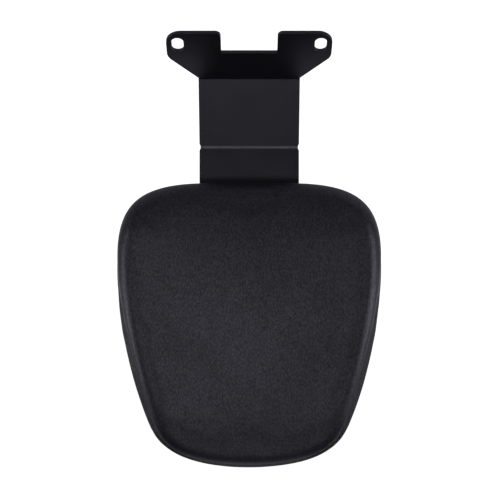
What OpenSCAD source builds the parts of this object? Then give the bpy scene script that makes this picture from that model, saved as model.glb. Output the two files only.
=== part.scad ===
// Passenger backrest for a motorbike: a padded back pad bolted to one folded steel bracket.
// Millimetres, +Z up, +Y to the rear, as the backrest stands on the bike.
// The origin lies midway between the two bolt slots, on the underside of the bracket's foot.
// The foot lies flat, the riser climbs to the rear, and the pad leans back above it.

/* [Steel sheet] */
// Thickness of the bracket's steel sheet with its coat
sheet_t = 2.7; // [2:0.1:4]
// Width of the riser and the back plate
neck_w = 73.6; // [66:0.2:84]

/* [Foot] */
// Distance between the centres of the two bolt slots
slot_spacing = 100; // [90:1:120]
// Width of each bolt slot, across the foot
slot_w = 8.4; // [6.5:0.1:11]
// Overall length of each bolt slot, along the foot
slot_len = 14.2; // [12:0.1:19]
// Steel left between a slot and the foot's outer side
side_margin = 3.8; // [3:0.2:6]
// Steel left between a slot and the foot's front edge
front_margin = 5.1; // [3:0.1:8]
// Distance from the slots' centres back to the corner where an ear starts to narrow
ear_back = 13.2; // [10:0.1:16]
// Radius of the two rounded corners of each ear
ear_r = 10.5; // [6:0.5:12]
// Distance from the slots' centres back to the first bend
foot_reach = 37; // [30:0.2:45]
// Width of the notch between the ears
notch_w = 39.5; // [30:0.5:50]
// Depth of the notch, from the front edge
notch_d = 21; // [12:0.5:28]
// Radius of the notch's two mouth corners
notch_r = 4; // [1.5:0.5:5]

/* [Bends] */
// Angle of the bend between the foot and the riser
foot_bend = 40; // [30:1:50]
// Inside radius of the bend between the foot and the riser
foot_bend_r = 3; // [2:0.5:10]
// Flat length of the riser between the two bends
riser_len = 48.2; // [35:0.2:70]
// Angle of the bend between the riser and the back plate
back_bend = 20; // [12:1:30]
// Inside radius of the bend between the riser and the back plate
back_bend_r = 10; // [4:0.5:14]
// Depth of the round nick that marks the upper bend on each side of the sheet
nick_d = 0.8; // [0.5:0.1:1.5]
// Radius of the round nick
nick_r = 4; // [3:0.5:6]

/* [Back plate] */
// Length of the back plate beyond the upper bend
back_plate_len = 138; // [125:1:150]
// Radius of the back plate's two end corners
back_plate_r = 10; // [4:1:16]
// Distance between the pad's bolts across the pad
bolt_pitch_x = 46; // [34:1:52]
// Distance between the pad's bolts along the pad
bolt_pitch_y = 64; // [45:1:72]
// Distance from the back plate's end to the nearest pair of bolts
bolt_end_margin = 15; // [12:1:20]
// Diameter of the bolt holes in the back plate
bolt_hole_d = 6.6; // [6.4:0.1:7]

/* [Pad outline] */
// Distance from the upper bend to the pad's wide end
pad_gap = 26; // [18:0.5:40]
// Width of the pad at its widest
pad_w = 191.3; // [176:0.1:210]
// Length of the pad from its wide end to its narrow end
pad_len = 205.4; // [190:0.1:230]
// Length of the straight stretch of the wide end
wide_straight = 60; // [50:1:80]
// Distance from the wide end to the pad's widest line
widest_at = 61; // [48:0.5:66]
// Reach of the wide end's corner curve along the wide end
wide_pull_x = 58; // [36:1:62]
// Reach of the wide end's corner curve along the side
wide_pull_y = 40; // [24:1:48]
// Width of the pad at the narrow end's shoulders
shoulder_w = 147; // [136:1:160]
// Distance from the narrow end to its shoulders
shoulder_at = 33; // [30:0.5:44]
// Angle by which the sides lean in at the shoulders
shoulder_lean = 22.7; // [14:0.1:28]
// Reach of the side's curve below the widest line
side_pull = 42; // [34:0.5:55]
// Reach of the side's curve above the shoulders
shoulder_pull = 20.5; // [16:0.5:32]
// Reach of the narrow corner's curve along the side
tip_pull_side = 16; // [12:0.5:32]
// Reach of the narrow corner's curve along the narrow end
tip_pull_end = 56; // [34:0.5:58]

/* [Pad section] */
// Height of the pad's widest line above its back face
rim_h = 21.5; // [18:0.5:26]
// Distance by which the back edge is drawn in from the widest line
back_in = 7; // [4:0.5:9]
// Outside radius where the cover turns over the board's back edge
back_edge_r = 2.4; // [2:0.1:4]
// Depth of the rolled front edge, from the widest line to the face
roll_in = 11; // [8:0.5:14]
// Height of the rolled front edge above the widest line
roll_h = 16; // [12:0.5:20]
// Rise of the face from its edge to its middle
crown_h = 3; // [1:0.5:6]
// Drop of the face at the wide and the narrow end
end_drop = 5; // [2:0.5:7]
// Length over which the face falls towards each end
end_fall = 44; // [30:1:60]

/* [Pad make-up] */
// Thickness of the leatherette cover
cover_t = 1.2; // [0.9:0.1:1.8]
// Width of the cover's hem that is turned onto the back
hem_w = 15; // [10:0.5:16]
// Thickness of the plywood board
board_t = 12; // [10:0.5:14]
// Thickness of the cloth that closes the back
lining_t = 0.6; // [0.4:0.1:1]
// Distance by which the cloth laps over the hem
lining_lap = 8; // [5:0.5:10]
// Gap between soft pieces that lie against each other
soft_gap = 0.3; // [0.2:0.05:0.5]

/* [Fasteners] */
// Diameter of the bolts' threads
bolt_d = 6; // [5:0.5:6]
// Length of each bolt under its head
bolt_len = 16; // [14:1:17]
// Diameter of a bolt's button head
head_d = 10.5; // [9:0.5:12]
// Height of a bolt's button head
head_h = 3.3; // [2.8:0.1:4]
// Width across the flats of the hexagon socket
socket_af = 4; // [3:0.5:5]
// Depth of the hexagon socket
socket_d = 2; // [1.5:0.1:2.4]
// Outside diameter of the flat washers
washer_d = 14; // [12:0.5:18]
// Thickness of the flat washers
washer_t = 1.2; // [1:0.1:2]
// Outside diameter of the split lock washers
lock_d = 10.8; // [10:0.2:11.6]
// Thickness of the split lock washers
lock_t = 1.5; // [1:0.1:2]
// Width of the split in a lock washer
lock_split = 0.9; // [0.5:0.1:1.5]
// Bore of both kinds of washer
washer_bore = 6.4; // [6.2:0.1:6.8]
// Diameter of a tee nut's flange
nut_flange_d = 17; // [15:0.5:20]
// Thickness of a tee nut's flange
nut_flange_t = 1.3; // [1:0.1:2]
// Diameter of a tee nut's barrel
nut_barrel_d = 7.8; // [7.4:0.1:9]
// Height of a tee nut from its flange to the end of its barrel
nut_h = 9; // [7:0.5:9]
// Length of a tee nut's prongs under the flange
prong_len = 5; // [3:0.5:6]
// Width of a tee nut's prongs
prong_w = 2.6; // [2:0.1:3.5]
// Clearance between a bolt's thread and its tee nut
thread_gap = 0.05; // [0.02:0.01:0.1]

/* [Hidden] */
round_fn = 64;
// What a cutter runs past the faces that it cuts
over = 1;

// Where the face is highest, as a share of the way from the widest line to the narrow end
mid_share = 0.3;

// Steps along the curves of the pad's outline and its section
corner_steps = 9;
side_steps = 6;
back_steps = 3;
flank_steps = 3;
roll_steps = 6;
face_steps = 4;

// Foot
ear_x = slot_spacing / 2 + slot_w / 2 + side_margin;
front_y = -(slot_len / 2 + front_margin);
ear_lean = atan2(ear_x - neck_w / 2, foot_reach - ear_back);
ear_arc_x = ear_x - ear_r;
ear_arc_y = ear_back - ear_r * tan(ear_lean / 2);

// Side view of the folded strip, as pairs of Y and Z: headings, bend centres and the far end
bend_step = 2.5;
foot_lap = 8;
back_angle = foot_bend + back_bend;
function heading(a) = [cos(a), sin(a)];
function upward(a) = [-sin(a), cos(a)];
foot_bend_mid = [foot_reach, sheet_t + foot_bend_r];
riser_end = foot_bend_mid - foot_bend_r * upward(foot_bend) + riser_len * heading(foot_bend);
back_bend_mid = riser_end + back_bend_r * upward(foot_bend);
plate_end = back_bend_mid - back_bend_r * upward(back_angle) + back_plate_len * heading(back_angle);
function arc(mid, r, from, to) =
  let (steps = ceil((to - from) / bend_step))
    [for (i = [0 : steps]) mid - r * upward(from + (to - from) * i / steps)];
// One face of the strip, at a depth below its upper face
function strip_side(depth) = concat(
  [[foot_reach - foot_lap, sheet_t - depth]],
  arc(foot_bend_mid, foot_bend_r + depth, 0, foot_bend),
  arc(back_bend_mid, back_bend_r + depth, foot_bend, back_angle),
  [plate_end - depth * upward(back_angle)]
);
function reversed(list) = [for (i = [len(list) - 1 : -1 : 0]) list[i]];

// Pad section
hem_in = back_in + back_edge_r;
lining_in = hem_in + hem_w - lining_lap;
board_in = hem_in + soft_gap / 2;
pad_mid_y = widest_at + (pad_len - widest_at) * mid_share;

// Bolts, seen from the pad's wide end
bolt_far_y = back_plate_len - bolt_end_margin - pad_gap;
BOLTS = [for (row = [1, 0], side = [-1, 1]) [side * bolt_pitch_x / 2, bolt_far_y - row * bolt_pitch_y]];
plate_back = -(lining_t + sheet_t);
washer_back = plate_back - washer_t;
head_seat = washer_back - lock_t;

// Colours
STEEL_BLACK = "#17181b";
LEATHER_BLACK = "#1e1f21";
FOAM = "#d8cfae";
PLYWOOD = "#b48a5a";
CLOTH = "#151515";
ZINC = "#b9bcc0";

// A point on a cubic curve with four control points
function cubic(p, t) =
  pow(1 - t, 3) * p[0] + 3 * pow(1 - t, 2) * t * p[1] + 3 * (1 - t) * t * t * p[2] + pow(t, 3) * p[3];

// Points along a cubic curve, without its last
function along(p, steps) = [for (i = [0 : steps - 1]) cubic(p, i / steps)];

// The right half of the pad's outline, from the middle of the wide end to the middle of the narrow end
half_w = pad_w / 2;
lean_dir = [-sin(shoulder_lean), cos(shoulder_lean)];
wide_end = [wide_straight / 2, 0];
widest = [half_w, widest_at];
shoulder = [shoulder_w / 2, pad_len - shoulder_at];
tip = [0, pad_len];
HALF = concat(
  [[0, 0], wide_end / 2],
  along([wide_end, wide_end + [wide_pull_x, 0], widest - [0, wide_pull_y], widest], corner_steps),
  along([widest, widest + [0, side_pull], shoulder - shoulder_pull * lean_dir, shoulder], side_steps),
  along([shoulder, shoulder + tip_pull_side * lean_dir, tip + [tip_pull_end, 0], tip], corner_steps)
);
// The whole outline, anticlockwise seen from the face
OUTLINE = concat(HALF, [tip], [for (i = [len(HALF) - 1 : -1 : 1]) [-HALF[i][0], HALF[i][1]]]);
COUNT = len(OUTLINE);
INWARD = [
  for (i = [0 : COUNT - 1])
    let (step = OUTLINE[(i + 1) % COUNT] - OUTLINE[(i + COUNT - 1) % COUNT])
      [-step[1], step[0]] / norm(step)
];

// The outline drawn in by a distance
function drawn_in(d) = [for (i = [0 : COUNT - 1]) OUTLINE[i] + d * INWARD[i]];

// How far the face has fallen at a distance y from the wide end
function fall(y) =
  let (from_end = min(y, pad_len - y), t = max(0, 1 - from_end / end_fall)) end_drop * t * t;

// The cover's outer section from the hem to the roll's top: pairs of inset and height
SECTION = concat(
  [[hem_in + hem_w, 0]],
  [for (i = [0 : back_steps])
    let (a = 90 * i / back_steps) [hem_in - back_edge_r * sin(a), back_edge_r * (1 - cos(a))]],
  [for (i = [1 : flank_steps])
    let (t = i / flank_steps) [back_in * pow(1 - t, 2), back_edge_r + (rim_h - back_edge_r) * t]],
  [for (i = [1 : roll_steps])
    let (a = 90 * i / roll_steps) [roll_in * (1 - cos(a)), rim_h + roll_h * sin(a)]]
);

// The section moved in from its outer face by a thickness t
function section_inside(t) = [
  for (i = [0 : len(SECTION) - 1])
    let (
      step = SECTION[min(i + 1, len(SECTION) - 1)] - SECTION[max(i - 1, 0)],
      inward = i < 2 ? [0, 1] : i == len(SECTION) - 1 ? [0, -1] : [step[1], -step[0]] / norm(step)
    )
      SECTION[i] + t * inward
];

// One ring of the loft at an inset and a height, with the face's fall shared out over the roll
function ring(p) = [
  for (q = drawn_in(p[0])) [q[0], q[1], p[1] - fall(q[1]) * max(0, min(1, (p[1] - rim_h) / roll_h))]
];

// Rings of the face, shrinking to its middle, at t below the outer face
function face_rings(p) = [
  for (i = [1 : face_steps])
    let (s = 1 - i / (face_steps + 1), last = drawn_in(p[0]))
      [for (q = last)
        let (x = q[0] * s, y = pad_mid_y + (q[1] - pad_mid_y) * s)
          [x, y, p[1] + crown_h * (1 - s * s) - fall(y)]]
];

// Quads between one ring and the next, and the fan that closes a ring onto a point
function band(a, b) = [for (i = [0 : COUNT - 1]) let (j = (i + 1) % COUNT)
  each [[a + i, a + j, b + j], [a + i, b + j, b + i]]];
function fan(a, apex) = [for (i = [0 : COUNT - 1]) [a + i, a + (i + 1) % COUNT, apex]];
function flip(faces) = [for (f = faces) [f[2], f[1], f[0]]];
function flat_points(rings) = [for (r = rings) each r];

// A skin of rings from the back edge to the middle of the face
function skin(section) = concat([for (p = section) ring(p)], face_rings(section[len(section) - 1]));
function skin_apex(section) = let (p = section[len(section) - 1]) [0, pad_mid_y, p[1] + crown_h];

// Places children on the sheet beyond a bend that starts at y
module past_bend(y, angle, r) {
  translate([0, y, sheet_t + r])
    rotate([angle, 0, 0])
      translate([0, 0, -(sheet_t + r)])
        children();
}

module on_riser() {
  past_bend(foot_reach, foot_bend, foot_bend_r) children();
}

module on_back_plate() {
  on_riser() past_bend(riser_len, back_bend, back_bend_r) children();
}

// The pad's own frame: X across, Y from the wide end to the narrow end, Z out of the face
module on_pad() {
  on_back_plate() translate([0, pad_gap, sheet_t + lining_t]) children();
}

// The folded strip of the neck: both bends, the riser and the back plate as one sheet, square at its end
module folded_strip() {
  rotate([90, 0, 90])
    linear_extrude(neck_w, center = true)
      polygon(concat(strip_side(0), reversed(strip_side(sheet_t))));
}

module foot_ear() {
  polygon([
    [0, front_y],
    [ear_arc_x, front_y],
    [ear_x, front_y + ear_r],
    [ear_x, ear_arc_y],
    [ear_arc_x + ear_r * cos(ear_lean), ear_arc_y + ear_r * sin(ear_lean)],
    [neck_w / 2, foot_reach],
    [0, foot_reach]
  ]);
  translate([ear_arc_x, front_y + ear_r]) circle(r = ear_r, $fn = round_fn);
  translate([ear_arc_x, ear_arc_y]) circle(r = ear_r, $fn = round_fn);
}

module bolt_slot() {
  square([slot_w, slot_len - slot_w], center = true);
  for (end = [-1, 1])
    translate([0, end * (slot_len - slot_w) / 2]) circle(d = slot_w, $fn = round_fn);
}

module foot_notch() {
  translate([-notch_w / 2, front_y - over]) square([notch_w, notch_d + over]);
  for (side = [-1, 1])
    translate([side * notch_w / 2, front_y])
      difference() {
        translate([-notch_r, -over]) square([2 * notch_r, notch_r + over]);
        translate([side * notch_r, notch_r]) circle(r = notch_r, $fn = round_fn);
        translate([side > 0 ? notch_r : -2 * notch_r - over, -2 * over])
          square([notch_r + over, notch_r + 3 * over]);
      }
}

module foot_plate() {
  linear_extrude(sheet_t)
    difference() {
      union() {
        foot_ear();
        mirror([1, 0]) foot_ear();
      }
      foot_notch();
      for (side = [-1, 1]) translate([side * slot_spacing / 2, 0]) bolt_slot();
    }
}

// What is cut out of the back plate: its two end corners and the holes for the pad's bolts
module back_plate_cuts() {
  for (side = [-1, 1])
    translate([side * (neck_w / 2 - back_plate_r), back_plate_len - back_plate_r, -over])
      difference() {
        translate([side > 0 ? 0 : -back_plate_r - over, 0, 0])
          cube([back_plate_r + over, back_plate_r + over, sheet_t + 2 * over]);
        translate([0, 0, -over]) cylinder(r = back_plate_r, h = sheet_t + 4 * over, $fn = round_fn);
      }
  for (b = BOLTS)
    translate([b[0], b[1] + pad_gap, -over])
      cylinder(d = bolt_hole_d, h = sheet_t + 2 * over, $fn = round_fn);
}

// Round nicks in both edges at the middle of the upper bend
module bend_nicks() {
  on_riser()
    past_bend(riser_len, back_bend / 2, back_bend_r)
      for (side = [-1, 1])
        translate([side * (neck_w / 2 + nick_r - nick_d), 0, -over])
          cylinder(r = nick_r, h = sheet_t + 2 * over, $fn = round_fn);
}

module mounting_bracket() {
  color(STEEL_BLACK)
    difference() {
      union() {
        foot_plate();
        folded_strip();
      }
      bend_nicks();
      on_back_plate() back_plate_cuts();
    }
}

// Plywood board: rebated round its back for the hem, and let in for the four tee nuts
module base_board() {
  color(PLYWOOD)
    on_pad()
      difference() {
        linear_extrude(board_t) polygon(drawn_in(board_in));
        difference() {
          translate([0, 0, -over]) linear_extrude(cover_t + over) polygon(drawn_in(board_in - over));
          translate([0, 0, -2 * over])
            linear_extrude(cover_t + 4 * over) polygon(drawn_in(hem_in + hem_w + soft_gap));
        }
        for (b = BOLTS) translate([b[0], b[1], 0]) tee_nut_seat();
      }
}

// What a tee nut takes out of the board: its own form with a round hole for the barrel and the bolt
module tee_nut_seat() {
  translate([0, 0, -over]) cylinder(d = nut_barrel_d, h = board_t + 2 * over, $fn = round_fn);
  translate([0, 0, board_t - nut_flange_t])
    cylinder(d = nut_flange_d, h = nut_flange_t + over, $fn = round_fn);
  translate([0, 0, board_t]) tee_nut_prongs();
}

// Four pointed prongs bent down from the flange's edge
module tee_nut_prongs() {
  for (turn = [0 : 90 : 270])
    rotate([0, 0, turn])
      translate([nut_flange_d / 2 - nut_flange_t, 0, -nut_flange_t])
        rotate([0, 90, 0])
          linear_extrude(nut_flange_t)
            polygon([[0, -prong_w / 2], [prong_len, 0], [0, prong_w / 2]]);
}

module tee_nut(b) {
  color(ZINC)
    on_pad()
      translate([b[0], b[1], board_t])
        difference() {
          union() {
            translate([0, 0, -nut_flange_t]) cylinder(d = nut_flange_d, h = nut_flange_t, $fn = round_fn);
            translate([0, 0, -nut_h]) cylinder(d = nut_barrel_d, h = nut_h - nut_flange_t / 2, $fn = round_fn);
            tee_nut_prongs();
          }
          translate([0, 0, -nut_h - over])
            cylinder(d = bolt_d + 2 * thread_gap, h = nut_h + 2 * over, $fn = round_fn);
        }
}

// Moulded foam on the board, filling the cover
module foam_core() {
  upper = [for (p = section_inside(cover_t + soft_gap)) if (p[1] > back_edge_r) p];
  foot_inset = lookup(board_t, [for (p = upper) [p[1], p[0]]]);
  inside = [for (p = upper) if (p[1] > board_t + soft_gap) p];
  foot_ring = [for (q = drawn_in(foot_inset)) [q[0], q[1], board_t]];
  rings = concat([foot_ring], skin(inside));
  last = len(rings) - 1;
  points = concat(flat_points(rings), [skin_apex(inside), [0, pad_mid_y, board_t]]);
  apex = len(points) - 2;
  faces = concat(
    flip(fan(0, apex + 1)),
    [for (k = [0 : last - 1]) each band(k * COUNT, (k + 1) * COUNT)],
    fan(last * COUNT, apex)
  );
  color(FOAM) on_pad() polyhedron(points, flip(faces), convexity = 4);
}

// Leatherette cover: one stretched skin over the foam, turned in under the board's edge as a hem
module pad_cover() {
  inside = section_inside(cover_t);
  outer = skin(SECTION);
  inner = skin(inside);
  rings = len(outer);
  half = rings * COUNT;
  points = concat(flat_points(outer), flat_points(inner), [skin_apex(SECTION), skin_apex(inside)]);
  apex = 2 * half;
  faces = concat(
    [for (k = [0 : rings - 2]) each band(k * COUNT, (k + 1) * COUNT)],
    fan(half - COUNT, apex),
    [for (k = [0 : rings - 2]) each flip(band(half + k * COUNT, half + (k + 1) * COUNT))],
    flip(fan(2 * half - COUNT, apex + 1)),
    flip(band(0, half))
  );
  color(LEATHER_BLACK) on_pad() polyhedron(points, flip(faces), convexity = 6);
}

// Thin cloth over the back of the board, lapping over the hem
module back_lining() {
  color(CLOTH)
    on_pad()
      translate([0, 0, -lining_t])
        difference() {
          linear_extrude(lining_t) polygon(drawn_in(lining_in));
          for (b = BOLTS)
            translate([b[0], b[1], -over])
              cylinder(d = bolt_hole_d, h = lining_t + 2 * over, $fn = round_fn);
        }
}

// Button-head bolt that enters from behind the back plate
module pad_bolt(b) {
  dome_r = (head_d * head_d / 4 + head_h * head_h) / (2 * head_h);
  color(ZINC)
    on_pad()
      translate([b[0], b[1], head_seat]) {
        difference() {
          union() {
            intersection() {
              translate([0, 0, dome_r - head_h]) sphere(r = dome_r, $fn = round_fn);
              translate([0, 0, -head_h - over]) cylinder(d = head_d + over, h = head_h + over, $fn = round_fn);
            }
            translate([0, 0, -head_h / 2]) cylinder(d = bolt_d, h = bolt_len + head_h / 2, $fn = round_fn);
          }
          translate([0, 0, -head_h - over])
            cylinder(d = socket_af / cos(30), h = socket_d + over, $fn = 6);
        }
      }
}

module flat_washer(b) {
  color(ZINC)
    on_pad()
      translate([b[0], b[1], washer_back])
        difference() {
          cylinder(d = washer_d, h = washer_t, $fn = round_fn);
          translate([0, 0, -over]) cylinder(d = washer_bore, h = washer_t + 2 * over, $fn = round_fn);
        }
}

// Split ring pressed flat, with its slanting cut
module lock_washer(b) {
  color(ZINC)
    on_pad()
      translate([b[0], b[1], head_seat])
        difference() {
          cylinder(d = lock_d, h = lock_t, $fn = round_fn);
          translate([0, 0, -over]) cylinder(d = washer_bore, h = lock_t + 2 * over, $fn = round_fn);
          translate([lock_d / 2, 0, lock_t / 2])
            rotate([30, 0, 0]) cube([lock_d, lock_split, 4 * lock_t], center = true);
        }
}

mounting_bracket();
base_board();
foam_core();
pad_cover();
back_lining();
for (i = [0 : 3]) {
  pad_bolt(BOLTS[i]);
  flat_washer(BOLTS[i]);
  lock_washer(BOLTS[i]);
  tee_nut(BOLTS[i]);
}
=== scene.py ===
# Passenger backrest: a leatherette pad on a folded, powder-coated bracket.
# Metres, in the part's own frame.
import math

import bmesh
import bpy
import numpy as np
from mathutils import Matrix, Vector

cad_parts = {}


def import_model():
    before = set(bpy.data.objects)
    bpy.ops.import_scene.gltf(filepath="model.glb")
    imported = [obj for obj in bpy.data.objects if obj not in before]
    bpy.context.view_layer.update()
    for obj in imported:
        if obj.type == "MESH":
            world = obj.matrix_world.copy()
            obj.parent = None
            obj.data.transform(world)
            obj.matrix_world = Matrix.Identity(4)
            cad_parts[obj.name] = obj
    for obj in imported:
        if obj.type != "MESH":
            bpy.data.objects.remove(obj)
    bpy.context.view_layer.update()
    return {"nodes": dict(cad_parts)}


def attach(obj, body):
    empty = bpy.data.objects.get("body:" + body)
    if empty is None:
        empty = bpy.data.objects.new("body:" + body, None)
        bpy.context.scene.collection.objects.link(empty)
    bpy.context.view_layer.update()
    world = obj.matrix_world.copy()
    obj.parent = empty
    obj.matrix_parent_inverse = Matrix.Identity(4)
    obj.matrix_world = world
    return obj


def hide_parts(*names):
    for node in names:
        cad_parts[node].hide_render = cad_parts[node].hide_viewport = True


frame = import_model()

MM = 0.001

# Pad outline, as in the part's source
WIDE_STRAIGHT = 60 * MM
WIDEST_AT = 61 * MM
WIDE_PULL_X = 58 * MM
WIDE_PULL_Y = 40 * MM
SHOULDER_W = 147 * MM
SHOULDER_AT = 33 * MM
SHOULDER_LEAN = math.radians(22.7)
SIDE_PULL = 42 * MM
SHOULDER_PULL = 20.5 * MM
TIP_PULL_SIDE = 16 * MM
TIP_PULL_END = 56 * MM

# Pad section, as in the part's source
RIM_H = 21.5 * MM
BACK_IN = 7 * MM
BACK_EDGE_R = 2.4 * MM
ROLL_IN = 11 * MM
ROLL_H = 16 * MM
CROWN_H = 3 * MM
END_DROP = 5 * MM
END_FALL = 44 * MM
COVER_T = 1.2 * MM
SOFT_GAP = 0.3 * MM
BOARD_T = 12 * MM
HEM_W = 15 * MM
LINING_T = 0.6 * MM
LINING_LAP = 8 * MM
BOLT_HOLE_D = 6.6 * MM
NECK_W = 73.6 * MM
HEM_IN = BACK_IN + BACK_EDGE_R
LINING_IN = HEM_IN + HEM_W - LINING_LAP

# The side towards the narrow end: its widest line lies lower, and the roll above it stands further in
SET_IN = 4.6 * MM
SET_FROM, SET_FULL = 35 * MM, 140 * MM
SET_EASE, SET_LEAST = 45 * MM, 0.6
SET_RIM = 0.45
SET_SQUARE = 0.68

# A lower widest line is further from the eye, so the outline grows from this place to look the same
GROWN_FROM = np.array([0, 48.3 * MM])
EYE_AWAY = 866 * MM

# How finely the soft pieces are meshed
RING_POINTS = 192
GRID = RING_POINTS // 4
HEM_STEPS = 4
EDGE_STEPS = 4
FLANK_STEPS = 7
ROLL_STEPS = 10
FACE_STEPS = 8
FACE_INNER = 0.62


def unit(vector):
    return vector / np.linalg.norm(vector)


def node_points(node):
    """The vertices of a CAD node, one in each row."""
    mesh = frame["nodes"][node].data
    points = np.empty(len(mesh.vertices) * 3, np.float32)
    mesh.vertices.foreach_get("co", points)
    return points.reshape(-1, 3).astype(float)


# The pad's own axes, from its four bolts: across it, along it to the narrow end, and out of its face
BOLT_MIDDLES = [node_points(f"pad_bolt_{i}").mean(0) for i in (1, 2, 3, 4)]
ACROSS = unit(BOLT_MIDDLES[1] - BOLT_MIDDLES[0])
ALONG = unit(BOLT_MIDDLES[2] - BOLT_MIDDLES[0])
OUT = np.cross(ACROSS, ALONG)
PAD_AXES = np.array([ACROSS, ALONG, OUT])

# The pad's origin: the middle of its wide end, on its back face
COVER_POINTS = node_points("pad_cover") @ PAD_AXES.T
COVER_LOW = COVER_POINTS.min(0)
COVER_HIGH = COVER_POINTS.max(0)
PAD_ORIGIN = np.array([(COVER_LOW[0] + COVER_HIGH[0]) / 2, COVER_LOW[1], COVER_LOW[2]])
PAD_W = COVER_HIGH[0] - COVER_LOW[0]
PAD_LEN = COVER_HIGH[1] - COVER_LOW[1]
PAD_MIDDLE = np.array([0, WIDEST_AT + (PAD_LEN - WIDEST_AT) * 0.3])
BOLT_PLACES = [(m @ PAD_AXES.T - PAD_ORIGIN)[:2] for m in BOLT_MIDDLES]


def on_pad(points):
    """Points in the pad's own axes, as points of the part."""
    return (np.asarray(points, float) + PAD_ORIGIN) @ PAD_AXES


def to_pad(points):
    """Points of the part in the pad's own axes."""
    return np.asarray(points, float) @ PAD_AXES.T - PAD_ORIGIN


# Meshes

def link(name, mesh):
    piece = bpy.data.objects.new(name, mesh)
    bpy.context.scene.collection.objects.link(piece)
    return piece


def mesh_of(name, points, faces):
    mesh = bpy.data.meshes.new(name)
    mesh.from_pydata([tuple(p) for p in points], [], [tuple(f) for f in faces])
    mesh.update()
    return mesh


def mesh_points(mesh):
    points = np.empty(len(mesh.vertices) * 3, np.float32)
    mesh.vertices.foreach_get("co", points)
    return points.reshape(-1, 3).astype(float)


def set_points(mesh, points):
    mesh.vertices.foreach_set("co", np.asarray(points, np.float32).ravel())
    mesh.update()


def modify(piece, kind, **settings):
    """Adds a modifier and applies it."""
    modifier = piece.modifiers.new(kind.lower(), kind)
    for key, value in settings.items():
        setattr(modifier, key, value)
    bpy.context.view_layer.update()
    evaluated = piece.evaluated_get(bpy.context.evaluated_depsgraph_get())
    mesh = bpy.data.meshes.new_from_object(evaluated)
    piece.modifiers.clear()
    old = piece.data
    piece.data = mesh
    bpy.data.meshes.remove(old)
    return piece


def smooth(piece, angle=30):
    """Smooth shading, sharp where two faces meet at more than the angle."""
    piece.data.polygons.foreach_set("use_smooth", [True] * len(piece.data.polygons))
    piece.data.set_sharp_from_angle(angle=math.radians(angle))
    return piece


def box_rows(count):
    """The faces of a tube of square section with flat ends, for count rings of four points."""
    faces = [(0, 1, 2, 3), tuple(4 * (count - 1) + k for k in (3, 2, 1, 0))]
    for ring in range(count - 1):
        a, b = 4 * ring, 4 * ring + 4
        faces += [(a + k, b + k, b + (k + 1) % 4, a + (k + 1) % 4) for k in range(4)]
    return faces


# Pad outline

def cubic(p, t):
    t = t[:, None]
    return (1 - t) ** 3 * p[0] + 3 * (1 - t) ** 2 * t * p[1] + 3 * (1 - t) * t**2 * p[2] + t**3 * p[3]


def half_outline():
    """The right half of the outline, from the middle of the wide end to the middle of the narrow end."""
    lean = np.array([-math.sin(SHOULDER_LEAN), math.cos(SHOULDER_LEAN)])
    wide_end = np.array([WIDE_STRAIGHT / 2, 0])
    widest = np.array([PAD_W / 2, WIDEST_AT])
    shoulder = np.array([SHOULDER_W / 2, PAD_LEN - SHOULDER_AT])
    tip = np.array([0, PAD_LEN])
    t = np.linspace(0, 1, 150)
    return np.vstack([
        [[0, 0]],
        cubic([wide_end, wide_end + [WIDE_PULL_X, 0], widest - [0, WIDE_PULL_Y], widest], t),
        cubic([widest, widest + [0, SIDE_PULL], shoulder - SHOULDER_PULL * lean, shoulder], t[1:]),
        cubic([shoulder, shoulder + TIP_PULL_SIDE * lean, tip + [TIP_PULL_END, 0], tip], t[1:]),
    ])


def outline(count):
    """Points evenly spaced along the whole outline, anticlockwise seen from the face, and its length."""
    half = half_outline()
    loop = np.vstack([half, half[-2::-1] * [-1, 1]])
    lengths = np.concatenate([[0], np.cumsum(np.linalg.norm(np.diff(loop, axis=0), axis=1))])
    at = np.linspace(0, lengths[-1], count, endpoint=False)
    return np.column_stack([np.interp(at, lengths, loop[:, k]) for k in (0, 1)]), lengths[-1]


def inward_of(points):
    step = np.roll(points, -1, 0) - np.roll(points, 1, 0)
    return np.column_stack([-step[:, 1], step[:, 0]]) / np.linalg.norm(step, axis=1)[:, None]


OUTLINE, OUTLINE_LENGTH = outline(RING_POINTS)
INWARD = inward_of(OUTLINE)


def turning():
    """How sharply the outline turns at each of its points, from 0 on its straight parts to 1."""
    turn = np.linalg.norm(np.roll(INWARD, -3, 0) - np.roll(INWARD, 3, 0), axis=1)
    for _ in range(8):
        turn = (np.roll(turn, 1) + 2 * turn + np.roll(turn, -1)) / 4
    return np.clip((turn - 0.1 * turn.max()) / (0.6 * turn.max()), 0, 1)


TURNING = turning()


def drawn_in(distance):
    return OUTLINE + distance * INWARD


def fall(y):
    """How far the face has fallen at a distance y from the wide end."""
    t = np.maximum(0, 1 - np.minimum(y, PAD_LEN - y) / END_FALL)
    return END_DROP * t * t


def round_place(points):
    """Where points lie round the pad: the share of the outline's length, from the wide end's middle."""
    def angle(xy):
        d = xy - PAD_MIDDLE
        return np.arctan2(d[:, 0], -d[:, 1]) % (2 * math.pi)
    known = angle(OUTLINE)
    known[0] = 0
    share = np.arange(RING_POINTS + 1) / RING_POINTS
    return np.interp(angle(points), np.append(known, 2 * math.pi), share)


# Pad cover

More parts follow.
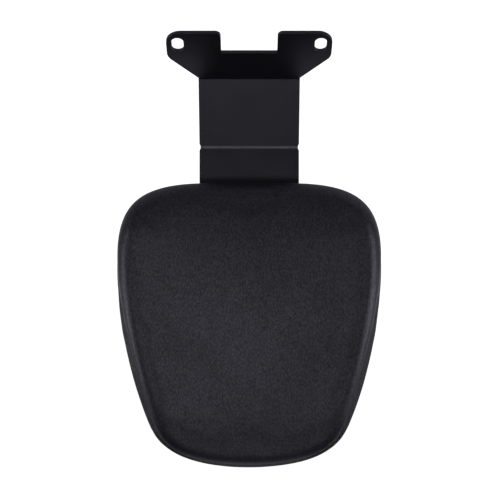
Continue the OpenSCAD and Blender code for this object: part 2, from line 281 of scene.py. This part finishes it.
def section_rings():
    """Pairs of inset and height, from the hem's inner edge to the roll's top."""
    hem = [(HEM_IN + HEM_W * (1 - t), 0) for t in np.arange(HEM_STEPS) / HEM_STEPS]
    turns = np.linspace(0, math.pi / 2, EDGE_STEPS + 1)
    edge = [(HEM_IN - BACK_EDGE_R * math.sin(a), BACK_EDGE_R * (1 - math.cos(a))) for a in turns]
    shares = np.arange(1, FLANK_STEPS + 1) / FLANK_STEPS
    flank = [(0, BACK_EDGE_R + (RIM_H - BACK_EDGE_R) * t) for t in shares]
    turns = np.linspace(0, math.pi / 2, ROLL_STEPS + 1)[1:]
    roll = [(ROLL_IN * (1 - math.cos(a)), RIM_H + ROLL_H * math.sin(a)) for a in turns]
    return hem + edge + flank + roll


def eased(t):
    t = np.clip(t, 0, 1)
    return t * t * (3 - 2 * t)


def set_share(y):
    """How far the side has taken the narrow end's form at a distance y from the wide end."""
    rise = eased((y - SET_FROM) / (SET_FULL - SET_FROM))
    return rise * (1 - (1 - SET_LEAST) * eased((y - (PAD_LEN - SET_EASE)) / SET_EASE))


def side_inset(height):
    """The side's distance inside the outline, from the back edge up to the foot of the roll."""
    up = np.clip((height - BACK_EDGE_R) / (RIM_H - BACK_EDGE_R), 0, 1)
    share = set_share(OUTLINE[:, 1])
    rim = 1 - (1 - SET_RIM) * share
    outward = -((OUTLINE - GROWN_FROM) * INWARD).sum(1)
    proud = outward * (1 - rim) * (RIM_H - BACK_EDGE_R) / EYE_AWAY
    below = (BACK_IN + proud) * np.maximum(0, 1 - up / rim) ** 2
    above = np.clip((up - rim) / np.maximum(1 - rim, 1e-6), 0, 1)
    return below + (SET_IN * share + proud) * above - proud


def ring_at(inset, height):
    y = OUTLINE[:, 1]
    height = np.full(len(y), float(height))
    if height[0] >= RIM_H:
        power = 1 - (1 - SET_SQUARE) * set_share(y)
        level = max(0, 1 - inset / ROLL_IN)
        inset = ROLL_IN * (1 - level**power) + SET_IN * set_share(y)
        height = RIM_H + ROLL_H * ((height - RIM_H) / ROLL_H) ** power
    elif height[0] > BACK_EDGE_R:
        inset = side_inset(height)
    xy = OUTLINE + np.broadcast_to(inset, y.shape)[:, None] * INWARD
    share = np.clip((height - RIM_H) / ROLL_H, 0, 1)
    return np.column_stack([xy, height - fall(xy[:, 1]) * share])


def face_height(xy, share):
    """Height of the face at points that lie at a share of the way from its middle to its edge."""
    return RIM_H + ROLL_H + CROWN_H * (1 - share**2) ** 2 - fall(xy[:, 1])


def face_share(xy, edge):
    """How far points lie from the face's middle towards its edge ring, as a share."""
    d = xy - PAD_MIDDLE
    e = edge - PAD_MIDDLE
    angles = np.arctan2(e[:, 1], e[:, 0])
    order = np.argsort(angles)
    radius = np.linalg.norm(e, axis=1)
    reach = np.interp(np.arctan2(d[:, 1], d[:, 0]), angles[order], radius[order], period=2 * math.pi)
    return np.linalg.norm(d, axis=1) / reach


def patch(ring):
    """Points of a square grid stretched into a ring, row by row, and the ring's place in the grid."""
    n = GRID
    start = n // 2
    low = ring[(np.arange(n + 1) - start) % RING_POINTS]
    right = ring[start + np.arange(n + 1)]
    high = ring[3 * n // 2 + n - np.arange(n + 1)]
    left = ring[(5 * n // 2 + n - np.arange(n + 1)) % RING_POINTS]
    u, v = np.meshgrid(np.linspace(0, 1, n + 1), np.linspace(0, 1, n + 1))
    u, v = u[..., None], v[..., None]
    return (
        (1 - v) * low[None] + v * high[None] + (1 - u) * left[:, None] + u * right[:, None]
        - (1 - u) * (1 - v) * low[0] - u * (1 - v) * low[-1]
        - (1 - u) * v * high[0] - u * v * high[-1]
    )


def patch_index(first_inner, ring_start):
    """Vertex numbers of the patch's points: its border is the ring, and its inside is numbered by rows."""
    n = GRID
    start = n // 2
    index = np.zeros((n + 1, n + 1), int)
    index[1:n, 1:n] = first_inner + np.arange((n - 1) ** 2).reshape(n - 1, n - 1)
    along = np.arange(n + 1)
    index[0] = ring_start + (along - start) % RING_POINTS
    index[:, n] = ring_start + start + along
    index[n] = ring_start + 3 * n // 2 + n - along
    index[:, 0] = ring_start + (5 * n // 2 + n - along) % RING_POINTS
    return index


def filled_rings(name, rings):
    """A mesh of rings of equal count, each joined to the next, with the last one filled by a grid."""
    count = len(rings)
    inside = patch(rings[-1])[1:-1, 1:-1].reshape(-1, 3)
    points = np.vstack([*rings, inside])
    faces = []
    for ring in range(count - 1):
        a, b = ring * RING_POINTS, (ring + 1) * RING_POINTS
        for i in range(RING_POINTS):
            j = (i + 1) % RING_POINTS
            faces.append((a + i, a + j, b + j, b + i))
    index = patch_index(count * RING_POINTS, (count - 1) * RING_POINTS)
    for row in range(GRID):
        for column in range(GRID):
            faces.append((
                index[row, column], index[row, column + 1],
                index[row + 1, column + 1], index[row + 1, column],
            ))
    return mesh_of(name, points, faces)


SIM_FRAMES = 20
SIM_PRESSURE = 9
SIM_LEAST = -0.05 * MM
SIM_MOST = 0.7 * MM


def cover_skin():
    """The cover's outer skin in the pad's axes, and how firmly each point is held to the board."""
    section = section_rings()
    rings = [ring_at(inset, height) for inset, height in section]
    edge = rings[-1][:, :2]
    for share in np.linspace(1, FACE_INNER, FACE_STEPS + 1)[1:]:
        xy = PAD_MIDDLE + (edge - PAD_MIDDLE) * share
        rings.append(np.column_stack([xy, face_height(xy, share)]))
    mesh = filled_rings("pad_cover_skin", rings)
    points = mesh_points(mesh)
    inner = np.arange(len(rings) * RING_POINTS, len(points))
    share = face_share(points[inner, :2], edge)
    points[inner, 2] = face_height(points[inner, :2], share)
    set_points(mesh, points)
    held = HEM_STEPS + EDGE_STEPS + 1
    pins = np.zeros(len(points))
    pins[: held * RING_POINTS] = 1
    for ring in range(FLANK_STEPS):
        at = (held + ring) * RING_POINTS
        pins[at : at + RING_POINTS] = max(0, 1 - (ring + 1) / 4)
    return mesh, pins


def inflated(piece, pins):
    """The piece blown up by a cloth simulation, as far as the foam lets it move."""
    mesh = piece.data
    normals = np.empty(len(mesh.vertices) * 3, np.float32)
    mesh.vertices.foreach_get("normal", normals)
    normals = normals.reshape(-1, 3)
    start = mesh_points(mesh)
    group = piece.vertex_groups.new(name="held")
    for weight in sorted(set(pins)):
        if weight > 0:
            group.add([int(i) for i in np.flatnonzero(pins == weight)], float(weight), "REPLACE")
    cloth = piece.modifiers.new("cloth", "CLOTH")
    cloth.settings.vertex_group_mass = group.name
    cloth.settings.quality = 5
    cloth.settings.use_pressure = True
    cloth.settings.uniform_pressure_force = SIM_PRESSURE
    cloth.settings.effector_weights.gravity = 0
    cloth.point_cache.frame_start = 1
    cloth.point_cache.frame_end = SIM_FRAMES
    scene = bpy.context.scene
    for number in range(1, SIM_FRAMES + 1):
        scene.frame_set(number)
    blown = piece.evaluated_get(bpy.context.evaluated_depsgraph_get()).to_mesh()
    moved = ((mesh_points(blown) - start) * normals).sum(1)
    piece.modifiers.clear()
    piece.vertex_groups.clear()
    scene.frame_set(1)
    set_points(mesh, start + normals * np.clip(moved, SIM_LEAST, SIM_MOST)[:, None])
    return piece


PLEAT_PITCH = 7.5 * MM
PLEAT_H = 0.9 * MM
PLEAT_TOP = 17 * MM


def waves(place, pitch):
    """Gathers round the pad's edge: soft ridges between narrow valleys, with a drifting pitch."""
    turn = place * OUTLINE_LENGTH / pitch
    drift = 0.35 * np.sin(2 * math.pi * 5 * place + 1.1) + 0.25 * np.sin(2 * math.pi * 13 * place + 0.4)
    return np.abs(np.sin(math.pi * (turn + drift))) ** 0.7


def pleat(mesh):
    """Gathers the cover at the pad's corners, where it is pulled round the board's edge onto the back."""
    points = mesh_points(mesh)
    normals = np.empty(len(mesh.vertices) * 3, np.float32)
    mesh.vertices.foreach_get("normal", normals)
    place = round_place(points[:, :2])
    corner = np.interp(place, np.arange(RING_POINTS + 1) / RING_POINTS, np.append(TURNING, TURNING[0]))
    height = points[:, 2]
    side = np.clip(1 - (height - BACK_EDGE_R) / (PLEAT_TOP - BACK_EDGE_R), 0, 1) ** 2
    outline_share = face_share(points[:, :2], OUTLINE)
    lined = face_share(drawn_in(LINING_IN), OUTLINE).mean()
    hem = np.clip((outline_share - lined) / (1 - lined), 0, 1)
    on_hem = height < BACK_EDGE_R / 2
    strength = np.where(on_hem, np.minimum(1, 1.6 * hem), side)
    lift = PLEAT_H * corner * strength * (waves(place, PLEAT_PITCH) - 0.45)
    lift = np.where(on_hem, np.maximum(lift, 0), lift)
    set_points(mesh, points + normals.reshape(-1, 3) * lift[:, None])


def pad_cover():
    mesh, pins = cover_skin()
    piece = inflated(link("pad_cover_skin", mesh), pins)
    modify(piece, "SUBSURF", levels=1)
    pleat(piece.data)
    modify(piece, "SOLIDIFY", thickness=COVER_T, offset=-1, use_even_offset=True)
    set_points(piece.data, on_pad(mesh_points(piece.data)))
    smooth(piece, 60)
    piece.data.materials.append(leatherette())
    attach(piece, "root")
    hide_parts("pad_cover")
    return piece


def foam():
    """A copy of the foam that follows the cover's side, and stands for the node."""
    mesh = frame["nodes"]["foam_core"].data.copy()
    points = to_pad(mesh_points(mesh))
    height = points[:, 2]
    inset = SET_IN * set_share(points[:, 1]) * np.clip((height - BOARD_T) / (RIM_H - BOARD_T), 0, 1)
    inward = PAD_MIDDLE - points[:, :2]
    far = np.linalg.norm(inward, axis=1)
    points[:, :2] += inward * (np.minimum(inset + SOFT_GAP, far) / np.maximum(far, 1e-9))[:, None]
    points[:, 2] -= np.where(height > RIM_H, 2 * SOFT_GAP, 0)
    set_points(mesh, on_pad(points))
    mesh.materials.clear()
    mesh.materials.append(pad_foam())
    piece = link("foam_core_fitted", mesh)
    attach(piece, "root")
    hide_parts("foam_core")
    return piece


# Lining and staples

STAPLE_COUNT = 26
STAPLE_IN = LINING_IN + 4 * MM
STAPLE_LENGTH = 10 * MM
STAPLE_WIRE = 0.7 * MM
STAPLE_LEG = 1.4 * MM
PUCKER_H = 0.9 * MM
PUCKER_REACH = 16 * MM


def clear_of_plate(points):
    """0 where the back plate presses on the lining, and 1 well beside it."""
    beside = np.abs(points[:, 0]) - NECK_W / 2
    beyond = points[:, 1] - (BOLT_PLACES[2][1] + 15 * MM)
    return np.clip((np.maximum(beside, beyond) - 1.5 * MM) / (12 * MM), 0, 1)


def pucker(points):
    """How far the lining stands off between its staples."""
    place = round_place(points[:, :2])
    between = np.sin(math.pi * place * STAPLE_COUNT) ** 2
    edge = drawn_in(LINING_IN)
    share = face_share(points[:, :2], edge)
    reach = PUCKER_REACH / np.linalg.norm(edge - PAD_MIDDLE, axis=1).mean()
    near = np.clip(1 - (1 - share) / reach, 0, 1)
    return PUCKER_H * between * near**1.5 * clear_of_plate(points)


def back_lining():
    rings = []
    for share in (1, 0.985, 0.96, 0.92, 0.87, 0.81, 0.74):
        xy = PAD_MIDDLE + (drawn_in(LINING_IN) - PAD_MIDDLE) * share
        rings.append(np.column_stack([xy, np.zeros(RING_POINTS)]))
    piece = link("back_lining_cloth", filled_rings("back_lining_cloth", rings))
    points = mesh_points(piece.data)
    points[:, 2] -= pucker(points)
    set_points(piece.data, points)
    modify(piece, "SOLIDIFY", thickness=LINING_T, offset=-1)
    points = mesh_points(piece.data)
    set_points(piece.data, on_pad(points))
    for place in BOLT_PLACES:
        drill = hole_cutter(place)
        modify(piece, "BOOLEAN", object=drill, operation="DIFFERENCE", solver="EXACT")
        bpy.data.objects.remove(drill)
    smooth(piece, 40)
    piece.data.materials.append(lining_cloth())
    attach(piece, "root")
    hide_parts("back_lining")
    return piece


def hole_cutter(place):
    """A cylinder through the lining at one of the pad's bolts."""
    mesh = bpy.data.meshes.new("hole")
    form = bmesh.new()
    bmesh.ops.create_cone(
        form, cap_ends=True, segments=48,
        radius1=BOLT_HOLE_D / 2, radius2=BOLT_HOLE_D / 2, depth=20 * LINING_T,
    )
    form.to_mesh(mesh)
    form.free()
    points = mesh_points(mesh) + [place[0], place[1], 0]
    set_points(mesh, on_pad(points))
    return link("hole", mesh)


def staples():
    """Wire staples round the lining's edge, driven through it and the hem, as one mesh."""
    places, _ = outline(STAPLE_COUNT)
    inward = np.array([INWARD[np.argmin(np.linalg.norm(OUTLINE - p, axis=1))] for p in places])
    points = []
    faces = []
    half = STAPLE_LENGTH / 2
    bend = STAPLE_WIRE
    path = [(-half, STAPLE_LEG), (-half, 0), (-half + 0.3 * bend, -0.7 * bend), (-half + bend, -bend)]
    path += [(-x, z) for x, z in reversed(path)]
    for place, normal in zip(places, inward):
        middle = place + STAPLE_IN * normal
        tangent = np.array([normal[1], -normal[0]])
        first = len(points)
        for k, (x, z) in enumerate(path):
            before = np.array(path[max(k - 1, 0)])
            after = np.array(path[min(k + 1, len(path) - 1)])
            run = unit(after - before)
            up = np.array([-run[1], run[0]]) * STAPLE_WIRE / 2
            for side, lift in ((-1, -1), (1, -1), (1, 1), (-1, 1)):
                across = side * STAPLE_WIRE / 2
                s = x + lift * up[0]
                h = z + lift * up[1]
                xy = middle + tangent * s + normal * across
                points.append([xy[0], xy[1], h - LINING_T + 0.4 * STAPLE_WIRE])
        faces += [tuple(first + i for i in face) for face in box_rows(len(path))]
    piece = link("lining_staples", mesh_of("lining_staples", on_pad(points), faces))
    form = bmesh.new()
    form.from_mesh(piece.data)
    bmesh.ops.recalc_face_normals(form, faces=form.faces)
    form.to_mesh(piece.data)
    form.free()
    smooth(piece, 50)
    piece.data.materials.append(zinc_plate())
    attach(piece, "root")
    return piece


# Steel pieces with softened edges

def softened(node, name, width, material):
    """A copy of a CAD node whose edges are rounded off, which stands for it."""
    mesh = frame["nodes"][node].data.copy()
    form = bmesh.new()
    form.from_mesh(mesh)
    bmesh.ops.remove_doubles(form, verts=form.verts, dist=0.002 * MM)
    bmesh.ops.dissolve_limit(form, angle_limit=math.radians(0.5), verts=form.verts, edges=form.edges)
    form.to_mesh(mesh)
    form.free()
    mesh.materials.clear()
    piece = link(name, mesh)
    modify(
        piece, "BEVEL",
        width=width, segments=2, limit_method="ANGLE", angle_limit=math.radians(35),
        use_clamp_overlap=False, miter_outer="MITER_ARC",
    )
    smooth(piece, 35)
    modify(piece, "WEIGHTED_NORMAL", keep_sharp=True)
    piece.data.materials.append(material)
    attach(piece, "root")
    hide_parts(node)
    return piece


# Materials

def new_material(name):
    material = bpy.data.materials.new(name)
    material.use_nodes = True
    tree = material.node_tree
    return material, tree, tree.nodes["Principled BSDF"]


def add(tree, kind, inputs, **settings):
    """Adds a node: inputs takes numbers, colours or other nodes' outputs."""
    node = tree.nodes.new(kind)
    for key, value in settings.items():
        setattr(node, key, value)
    fill(tree, node, inputs)
    return node


def fill(tree, node, inputs):
    for key, value in inputs.items():
        if isinstance(value, bpy.types.NodeSocket):
            tree.links.new(value, node.inputs[key])
        else:
            node.inputs[key].default_value = value


def place_of(tree):
    return add(tree, "ShaderNodeTexCoord", {}).outputs["Object"]


def noise(tree, vector, size, detail=2, roughness=0.5):
    """Noise whose features are about size metres across."""
    inputs = {"Vector": vector, "Scale": 1 / size, "Detail": detail, "Roughness": roughness}
    return add(tree, "ShaderNodeTexNoise", inputs).outputs["Fac"]


def spread(tree, value, low, high, start=0.0, end=1.0):
    """A value mapped from start and end to low and high, and kept between them."""
    inputs = {"Value": value, "From Min": start, "From Max": end, "To Min": low, "To Max": high}
    return add(tree, "ShaderNodeMapRange", inputs, clamp=True).outputs["Result"]


def math_of(tree, operation, a, b):
    node = add(tree, "ShaderNodeMath", {}, operation=operation)
    fill(tree, node, {0: a, 1: b})
    return node.outputs["Value"]


def blend_of(tree, share, low, high):
    """A colour between two colours."""
    node = add(tree, "ShaderNodeMix", {}, data_type="RGBA")
    fill(tree, node, {"Factor": share, "A": low, "B": high})
    return node.outputs["Result"]


def bump(tree, height, depth, strength=1.0, normal=None):
    """A bump of a depth in metres, on top of another one."""
    inputs = {"Height": height, "Distance": depth, "Strength": strength}
    if normal is not None:
        inputs["Normal"] = normal
    return add(tree, "ShaderNodeBump", inputs).outputs["Normal"]


GRAIN_PULL = 0.45


def leatherette():
    """Black leatherette: small pebbles between fine creases, with a mottled shine and soft unevenness; painted
    shade darkens the creases and dims their shine.
    """
    material, tree, shader = new_material("leatherette")
    place = place_of(tree)
    run = add(tree, "ShaderNodeVectorMath", {0: place, 1: tuple(ALONG)}, operation="DOT_PRODUCT")
    pull = math_of(tree, "MULTIPLY", run.outputs["Value"], GRAIN_PULL)
    pulled = add(tree, "ShaderNodeVectorMath", {0: tuple(ALONG), "Scale": pull}, operation="SCALE").outputs[0]
    drawn = add(tree, "ShaderNodeVectorMath", {0: place, 1: pulled}, operation="SUBTRACT").outputs[0]
    shift = add(tree, "ShaderNodeTexNoise", {"Vector": place, "Scale": 600, "Detail": 1}).outputs["Color"]
    scaled = add(tree, "ShaderNodeVectorMath", {0: shift, "Scale": 0.0008}, operation="SCALE").outputs[0]
    warped = add(tree, "ShaderNodeVectorMath", {0: drawn, 1: scaled}, operation="ADD").outputs[0]
    cells = add(
        tree, "ShaderNodeTexVoronoi", {"Vector": warped, "Scale": 1 / (1.6 * MM)},
        feature="DISTANCE_TO_EDGE",
    ).outputs["Distance"]
    pebble = spread(tree, cells, 0, 1, 0.0, 0.22)
    fine = noise(tree, place, 0.35 * MM, detail=2)
    speck = noise(tree, drawn, 1.2 * MM, detail=3, roughness=0.65)
    patches = noise(tree, place, 7 * MM, detail=3)
    broad = noise(tree, place, 32 * MM, detail=2)
    normal = bump(tree, patches, 0.3 * MM, 0.45)
    normal = bump(tree, pebble, 0.08 * MM, 0.6, normal)
    normal = bump(tree, fine, 0.03 * MM, 0.5, normal)
    # Painted shade in the grain's creases: the colour falls to 0.62 between the pebble tops; the speck, patch
    # and broad noises are random tone.
    tone_and_crease_shade = math_of(tree, "MULTIPLY", spread(tree, pebble, 0.62, 1), spread(tree, speck, 0.72, 1.28, 0.32, 0.68))
    tone_and_crease_shade = math_of(tree, "MULTIPLY", tone_and_crease_shade, spread(tree, patches, 0.92, 1.08, 0.3, 0.7))
    tone_and_crease_shade = math_of(tree, "MULTIPLY", tone_and_crease_shade, spread(tree, broad, 0.92, 1.08, 0.3, 0.7))
    fill(tree, shader, {
        "Base Color": blend_of(tree, tone_and_crease_shade, (0.002, 0.002, 0.0024, 1), (0.0195, 0.0192, 0.022, 1)),
        "Roughness": spread(tree, fine, 0.4, 0.5, 0.3, 0.7),
        "Normal": normal,
        # The specular level follows the same mix, so the painted crease shade also dims the shine there.
        "Specular IOR Level": spread(tree, tone_and_crease_shade, 0.12, 1.0, 0.1, 1.9),
    })
    return material


def powder_coat():
    """Black satin powder coat: a fine orange peel, with a faint broad unevenness in colour and roughness."""
    material, tree, shader = new_material("powder_coat")
    place = place_of(tree)
    peel = noise(tree, place, 0.9 * MM, detail=2)
    fine = noise(tree, place, 0.25 * MM, detail=2)
    broad = noise(tree, place, 25 * MM, detail=2)
    normal = bump(tree, peel, 0.02 * MM, 0.6)
    normal = bump(tree, fine, 0.008 * MM, 0.5, normal)
    fill(tree, shader, {
        "Base Color": blend_of(tree, broad, (0.0072, 0.0072, 0.0083, 1), (0.0095, 0.0095, 0.0107, 1)),
        "Roughness": spread(tree, broad, 0.29, 0.33, 0.3, 0.7),
        "Normal": normal,
        "Specular IOR Level": 0.5,
    })
    return material


def lining_cloth():
    """Thin black non-woven cloth: matted fibres and a faint pressed grid."""
    material, tree, shader = new_material("lining_cloth")
    place = place_of(tree)
    fibres = noise(tree, place, 0.6 * MM, detail=6, roughness=0.7)
    clouds = noise(tree, place, 9 * MM, detail=3)
    dots = add(
        tree, "ShaderNodeTexVoronoi", {"Vector": place, "Scale": 1 / (1.8 * MM), "Randomness": 0.15},
    ).outputs["Distance"]
    normal = bump(tree, fibres, 0.12 * MM, 0.8)
    normal = bump(tree, spread(tree, dots, 0, 1, 0.1, 0.35), 0.06 * MM, 0.6, normal)
    fill(tree, shader, {
        "Base Color": blend_of(
            tree, math_of(tree, "MULTIPLY", fibres, spread(tree, clouds, 0.7, 1, 0.3, 0.7)),
            (0.006, 0.006, 0.0065, 1), (0.03, 0.03, 0.032, 1),
        ),
        "Roughness": spread(tree, fibres, 0.8, 0.95),
        "Normal": normal,
        "Sheen Weight": 0.2,
    })
    return material


def bolt_steel():
    """Blackened steel of the bolts and washers, rubbed a little brighter in places."""
    material, tree, shader = new_material("bolt_steel")
    place = place_of(tree)
    rub = noise(tree, place, 1.6 * MM, detail=4)
    fine = noise(tree, place, 0.2 * MM, detail=2)
    fill(tree, shader, {
        "Base Color": blend_of(tree, spread(tree, rub, 0, 1, 0.45, 0.75), (0.02, 0.02, 0.022, 1), (0.07, 0.07, 0.072, 1)),
        "Metallic": 0.7,
        "Roughness": spread(tree, rub, 0.32, 0.48, 0.3, 0.7),
        "Normal": bump(tree, fine, 0.006 * MM, 0.5),
    })
    return material


def zinc_plate():
    """Bright zinc on the tee nuts and staples, with a faint brushed cloudiness."""
    material, tree, shader = new_material("zinc_plate")
    place = place_of(tree)
    clouds = noise(tree, place, 2 * MM, detail=4)
    fill(tree, shader, {
        "Base Color": blend_of(tree, clouds, (0.42, 0.43, 0.45, 1), (0.62, 0.63, 0.65, 1)),
        "Metallic": 1.0,
        "Roughness": spread(tree, clouds, 0.28, 0.45, 0.3, 0.7),
        "Normal": bump(tree, noise(tree, place, 0.3 * MM), 0.004 * MM, 0.5),
    })
    return material


def pad_foam():
    """Open-celled foam."""
    material, tree, shader = new_material("pad_foam")
    place = place_of(tree)
    cells = add(tree, "ShaderNodeTexVoronoi", {"Vector": place, "Scale": 1 / (1.1 * MM)}).outputs["Distance"]
    fill(tree, shader, {
        "Base Color": blend_of(tree, cells, (0.75, 0.68, 0.46, 1), (0.5, 0.44, 0.28, 1)),
        "Roughness": spread(tree, cells, 0.85, 0.98),
        "Normal": bump(tree, cells, 0.3 * MM, 0.8),
    })
    return material


def board_wood():
    """Birch plywood: long grain on its faces and thin dark glue lines between its plies."""
    material, tree, shader = new_material("board_wood")
    place = place_of(tree)
    outward = add(tree, "ShaderNodeVectorMath", {0: place, 1: tuple(OUT)}, operation="DOT_PRODUCT")
    stretched = add(tree, "ShaderNodeMapping", {"Vector": place, "Scale": (1, 0.08, 0.08)}).outputs[0]
    grain = noise(tree, stretched, 1.2 * MM, detail=5, roughness=0.6)
    ply = math_of(tree, "PINGPONG", outward.outputs["Value"], 1.0 * MM)
    glue = spread(tree, ply, 1, 0, 0, 0.15 * MM)
    face = blend_of(tree, grain, (0.5, 0.31, 0.15, 1), (0.68, 0.47, 0.26, 1))
    fill(tree, shader, {
        "Base Color": blend_of(tree, glue, face, (0.16, 0.08, 0.04, 1)),
        "Roughness": spread(tree, grain, 0.55, 0.75),
        "Normal": bump(tree, grain, 0.05 * MM, 0.6),
    })
    return material


# Studio

PIXEL = 0.7215 * MM
FOCAL_PX = 1200
IMAGE_PX = 500
PAD_END_ROW = 183.05
MIDDLE_COLUMN = 249.2
FLOOR_Z = -0.28
FLOOR_SIZE = 12


def camera():
    """Square to the pad's face, with its wide end towards the top of the picture."""
    data = bpy.data.cameras.new("camera")
    data.sensor_width = 36
    data.lens = data.sensor_width * FOCAL_PX / IMAGE_PX
    data.clip_start = 0.05
    data.clip_end = 50
    piece = bpy.data.objects.new("camera", data)
    bpy.context.scene.collection.objects.link(piece)
    place = on_pad([
        (MIDDLE_COLUMN - IMAGE_PX / 2) * PIXEL,
        (IMAGE_PX / 2 - PAD_END_ROW) * PIXEL,
        RIM_H + FOCAL_PX * PIXEL,
    ])
    piece.matrix_world = Matrix((
        (-ACROSS[0], -ALONG[0], OUT[0], place[0]),
        (-ACROSS[1], -ALONG[1], OUT[1], place[1]),
        (-ACROSS[2], -ALONG[2], OUT[2], place[2]),
        (0, 0, 0, 1),
    ))
    bpy.context.scene.camera = piece


def softbox(name, sideways, lengthways, distance, size, power):
    """An area light seen from the pad at two angles from its face's normal: across and along the pad."""
    a, b = math.radians(sideways), math.radians(lengthways)
    direction = OUT * math.cos(a) * math.cos(b) + ACROSS * math.sin(a) * math.cos(b) + ALONG * math.sin(b)
    target = on_pad([0, PAD_MIDDLE[1], RIM_H])
    data = bpy.data.lights.new(name, "AREA")
    data.shape = "RECTANGLE"
    data.size, data.size_y = size
    data.energy = power
    data.color = LIGHT_COLOUR
    piece = bpy.data.objects.new(name, data)
    bpy.context.scene.collection.objects.link(piece)
    piece.location = Vector(target + direction * distance)
    facing = Vector(direction).to_track_quat("Z", "X" if abs(sideways) > 45 else "Y")
    piece.rotation_mode = "QUATERNION"
    piece.rotation_quaternion = facing
    piece.visible_camera = False
    return piece


LIGHT_COLOUR = (0.98, 0.95, 1.14)
LIGHTS = {
    "front_strip": (0, 6.5, 0.85, (0.4, 0.12), 0.75),
    "upper_strip": (0, 28, 0.85, (0.4, 0.05), 0.02),
    "high_strip": (0, 38, 0.8, (0.4, 0.04), 0.2),
    "fold_strip": (0, 50, 0.85, (0.4, 0.05), 0.16),
    "top_box": (0, 85, 0.85, (0.5, 0.2), 0.08),
    "far_box": (0, 118, 0.85, (0.5, 0.15), 0.12),
    "far_low_box": (0, 125, 0.85, (0.5, 0.15), 0.11),
    "low_box": (0, -25, 0.85, (0.4, 0.2), 0.11),
    "left_strip": (-65, 3, 0.85, (0.15, 0.7), 1.45),
    "left_edge": (-84, 3, 0.85, (0.07, 0.9), 1.4),
    "right_front": (20, 3, 0.85, (0.15, 0.4), 0.38),
    "right_strip": (65, 3, 0.85, (0.15, 0.7), 0.25),
    "right_edge": (84, 3, 0.85, (0.07, 0.9), 1.8),
}


def world():
    """Dim for the light on the object, and white behind it, also in what its metal and gloss show low down."""
    scene_world = bpy.data.worlds.new("studio")
    scene_world.use_nodes = True
    tree = scene_world.node_tree
    tree.nodes.clear()
    ray = add(tree, "ShaderNodeLightPath", {}).outputs
    way = add(tree, "ShaderNodeTexCoord", {}).outputs["Generated"]
    axes = add(tree, "ShaderNodeSeparateXYZ", {"Vector": way}).outputs
    up = axes["Z"]
    low = math_of(tree, "LESS_THAN", up, -0.02)
    low = math_of(tree, "MULTIPLY", low, math_of(tree, "GREATER_THAN", axes["Y"], 0.0))
    mirrored = math_of(tree, "MAXIMUM", ray["Is Glossy Ray"], ray["Is Transmission Ray"])
    white = math_of(tree, "MAXIMUM", ray["Is Camera Ray"], math_of(tree, "MULTIPLY", mirrored, low))
    colour = blend_of(tree, white, (0.012, 0.0117, 0.0138, 1), (1, 1, 1, 1))
    background = add(tree, "ShaderNodeBackground", {"Color": colour})
    output = add(tree, "ShaderNodeOutputWorld", {})
    tree.links.new(background.outputs[0], output.inputs["Surface"])
    bpy.context.scene.world = scene_world


def floor():
    """A wide white floor: it takes the object's shadow, and shows white to the camera and to gloss."""
    half = FLOOR_SIZE / 2
    corners = [(-half, -half, FLOOR_Z), (half, -half, FLOOR_Z), (half, half, FLOOR_Z), (-half, half, FLOOR_Z)]
    piece = link("floor", mesh_of("floor", corners, [(0, 1, 2, 3)]))
    material = bpy.data.materials.new("floor")
    material.use_nodes = True
    tree = material.node_tree
    tree.nodes.clear()
    ray = add(tree, "ShaderNodeLightPath", {}).outputs
    mirrored = math_of(tree, "MAXIMUM", ray["Is Glossy Ray"], ray["Is Transmission Ray"])
    axes = add(tree, "ShaderNodeSeparateXYZ", {"Vector": place_of(tree)}).outputs
    near = spread(tree, axes["Y"], 0.05, 1, 0.3, 1.1)
    far = spread(tree, axes["Y"], 1, 0.15, 1.15, 2.0)
    along = math_of(tree, "MULTIPLY", near, far)
    aside = spread(tree, math_of(tree, "ABSOLUTE", axes["X"], 0), 1, 0.1, 0.5, 0.95)
    mirrored = math_of(tree, "MULTIPLY", mirrored, math_of(tree, "MULTIPLY", along, aside))
    direct = math_of(tree, "MULTIPLY", ray["Is Camera Ray"], spread(tree, axes["Y"], 0.82, 1, -0.25, 0.2))
    strength = math_of(tree, "MAXIMUM", direct, mirrored)
    glow = add(tree, "ShaderNodeEmission", {"Color": (1, 1, 1, 1), "Strength": strength})
    matt = add(tree, "ShaderNodeBsdfDiffuse", {"Color": (0.8, 0.8, 0.8, 1)})
    both = add(tree, "ShaderNodeAddShader", {})
    tree.links.new(glow.outputs[0], both.inputs[0])
    tree.links.new(matt.outputs[0], both.inputs[1])
    output = add(tree, "ShaderNodeOutputMaterial", {})
    tree.links.new(both.outputs[0], output.inputs["Surface"])
    piece.data.materials.append(material)


def dress_nodes():
    """Procedural materials for the CAD nodes that stay."""
    wood, zinc = board_wood(), zinc_plate()
    finishes = {"base_board": wood}
    finishes.update({f"tee_nut_{i}": zinc for i in (1, 2, 3, 4)})
    for node, material in finishes.items():
        mesh = frame["nodes"][node].data
        mesh.materials.clear()
        mesh.materials.append(material)


def steel_pieces():
    softened("mounting_bracket", "bracket_coated", 0.2 * MM, powder_coat())
    black = bolt_steel()
    for i in (1, 2, 3, 4):
        softened(f"pad_bolt_{i}", f"pad_bolt_{i}_finished", 0.25 * MM, black)
        softened(f"flat_washer_{i}", f"flat_washer_{i}_finished", 0.15 * MM, black)
        softened(f"lock_washer_{i}", f"lock_washer_{i}_finished", 0.15 * MM, black)


bpy.context.scene.view_settings.view_transform = "Standard"
camera()
world()
floor()
for name, values in LIGHTS.items():
    softbox(name, *values)
steel_pieces()
dress_nodes()
pad_cover()
foam()
back_lining()
staples()
